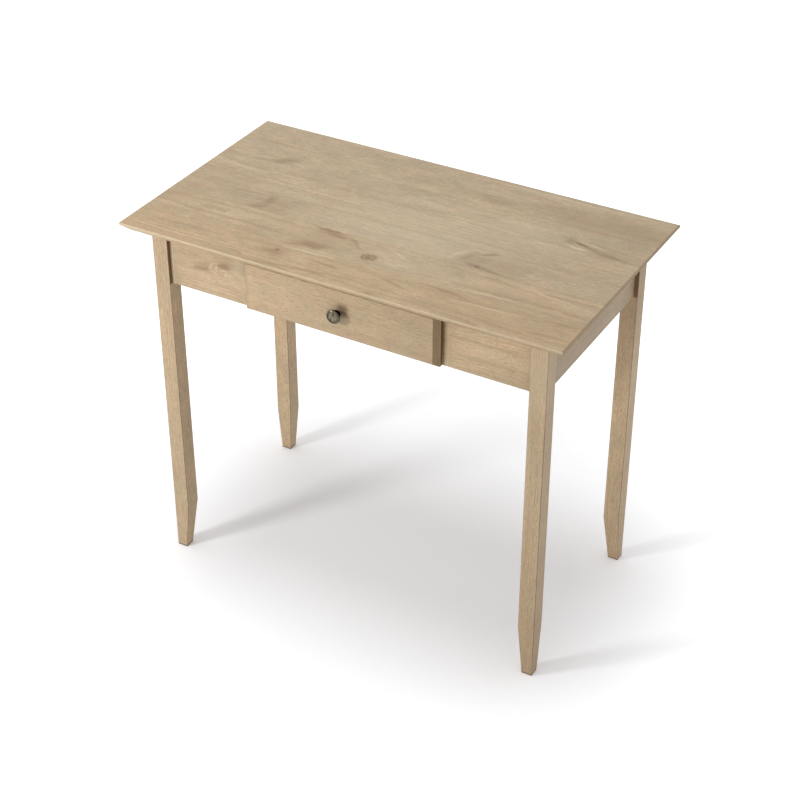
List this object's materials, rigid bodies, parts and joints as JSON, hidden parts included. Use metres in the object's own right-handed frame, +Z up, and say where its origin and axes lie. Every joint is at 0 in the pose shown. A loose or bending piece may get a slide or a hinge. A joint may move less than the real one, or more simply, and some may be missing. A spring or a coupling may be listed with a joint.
{
  "type": "writing desk",
  "caption": "Shaker style writing desk in stained pine with tapered square legs, an undercut bevelled top, recessed aprons and a sliding drawer with a round metal knob.",
  "frame": {"origin": "on the floor under the middle of the desk, at the centre of the top's outline", "axes": "+X to the right along the width as seen from the front, -Y out of the drawer side, +Z up"},
  "size_m": [0.9, 0.5, 0.76],
  "materials": {
    "stained_pine_top": "driftwood-stained pine, satin",
    "stained_pine_legs": "driftwood-stained pine, satin",
    "stained_pine_aprons": "driftwood-stained pine, satin",
    "stained_pine_side_aprons": "driftwood-stained pine, satin",
    "stained_pine_drawer_front": "driftwood-stained pine, satin, with darker end grain on its end bevels",
    "raw_pine": "planed pine, unstained",
    "plywood": "thin birch plywood, unfinished",
    "coated_steel": "off-white epoxy coat, semi-gloss",
    "zinc_steel": "zinc-plated",
    "nylon": "moulded nylon",
    "antique_pewter": "antique pewter, mottled and dark"
  },
  "bodies": {
    "frame": {"top_board_1": "stained_pine_top", "top_board_2": "stained_pine_top", "top_board_3": "stained_pine_top", "top_board_4": "stained_pine_top", "top_board_5": "stained_pine_top", "top_board_6": "stained_pine_top", "leg_front_left": "stained_pine_legs", "leg_front_right": "stained_pine_legs", "leg_back_left": "stained_pine_legs", "leg_back_right": "stained_pine_legs", "front_apron": "stained_pine_aprons", "back_apron": "stained_pine_aprons", "side_apron_left": "stained_pine_side_aprons", "side_apron_right": "stained_pine_side_aprons", "corner_block_front_left": "raw_pine", "corner_block_front_right": "raw_pine", "corner_block_back_left": "raw_pine", "corner_block_back_right": "raw_pine", "leg_bolts": "zinc_steel", "leg_washers": "zinc_steel", "leg_nuts": "zinc_steel", "block_screws": "zinc_steel", "top_screws": "zinc_steel", "guide_rail_left": "raw_pine", "guide_rail_right": "raw_pine", "rail_screws": "zinc_steel", "frame_track_left": "coated_steel", "frame_track_right": "coated_steel", "frame_track_screws": "zinc_steel", "frame_roller_pins": "zinc_steel"},
    "drawer": {"drawer_front": "stained_pine_drawer_front", "box_front": "raw_pine", "box_side_left": "raw_pine", "box_side_right": "raw_pine", "box_back": "raw_pine", "box_bottom": "plywood", "drawer_track_left": "coated_steel", "drawer_track_right": "coated_steel", "drawer_track_screws": "zinc_steel", "drawer_roller_pins": "zinc_steel", "front_screws": "zinc_steel", "knob": "antique_pewter", "knob_screw": "zinc_steel"},
    "frame_roller_left": {"frame_roller_left": "nylon"},
    "frame_roller_right": {"frame_roller_right": "nylon"},
    "drawer_roller_left": {"drawer_roller_left": "nylon"},
    "drawer_roller_right": {"drawer_roller_right": "nylon"}
  },
  "joints": [
    {"name": "drawer_slide", "type": "slide", "parent": "frame", "child": "drawer", "axis": [0, -1, 0], "range_m": [0, 0.26]},
    {"name": "frame_roller_left_spin", "type": "hinge", "parent": "frame", "child": "frame_roller_left", "pos_m": [-0.181, -0.186, 0.6615], "axis": [1, 0, 0], "range_deg": [0, 1500]},
    {"name": "frame_roller_right_spin", "type": "hinge", "parent": "frame", "child": "frame_roller_right", "pos_m": [0.181, -0.186, 0.6615], "axis": [1, 0, 0], "range_deg": [0, 1500]},
    {"name": "drawer_roller_left_spin", "type": "hinge", "parent": "drawer", "child": "drawer_roller_left", "pos_m": [-0.178, 0.134, 0.6615], "axis": [1, 0, 0], "range_deg": [0, 1500]},
    {"name": "drawer_roller_right_spin", "type": "hinge", "parent": "drawer", "child": "drawer_roller_right", "pos_m": [0.178, 0.134, 0.6615], "axis": [1, 0, 0], "range_deg": [0, 1500]}
  ],
  "couplings": [
    {"joint": "frame_roller_left_spin", "follows": "drawer_slide", "rad_per_m": 100},
    {"joint": "frame_roller_right_spin", "follows": "drawer_slide", "rad_per_m": 100},
    {"joint": "drawer_roller_left_spin", "follows": "drawer_slide", "rad_per_m": 100},
    {"joint": "drawer_roller_right_spin", "follows": "drawer_slide", "rad_per_m": 100}
  ]
}
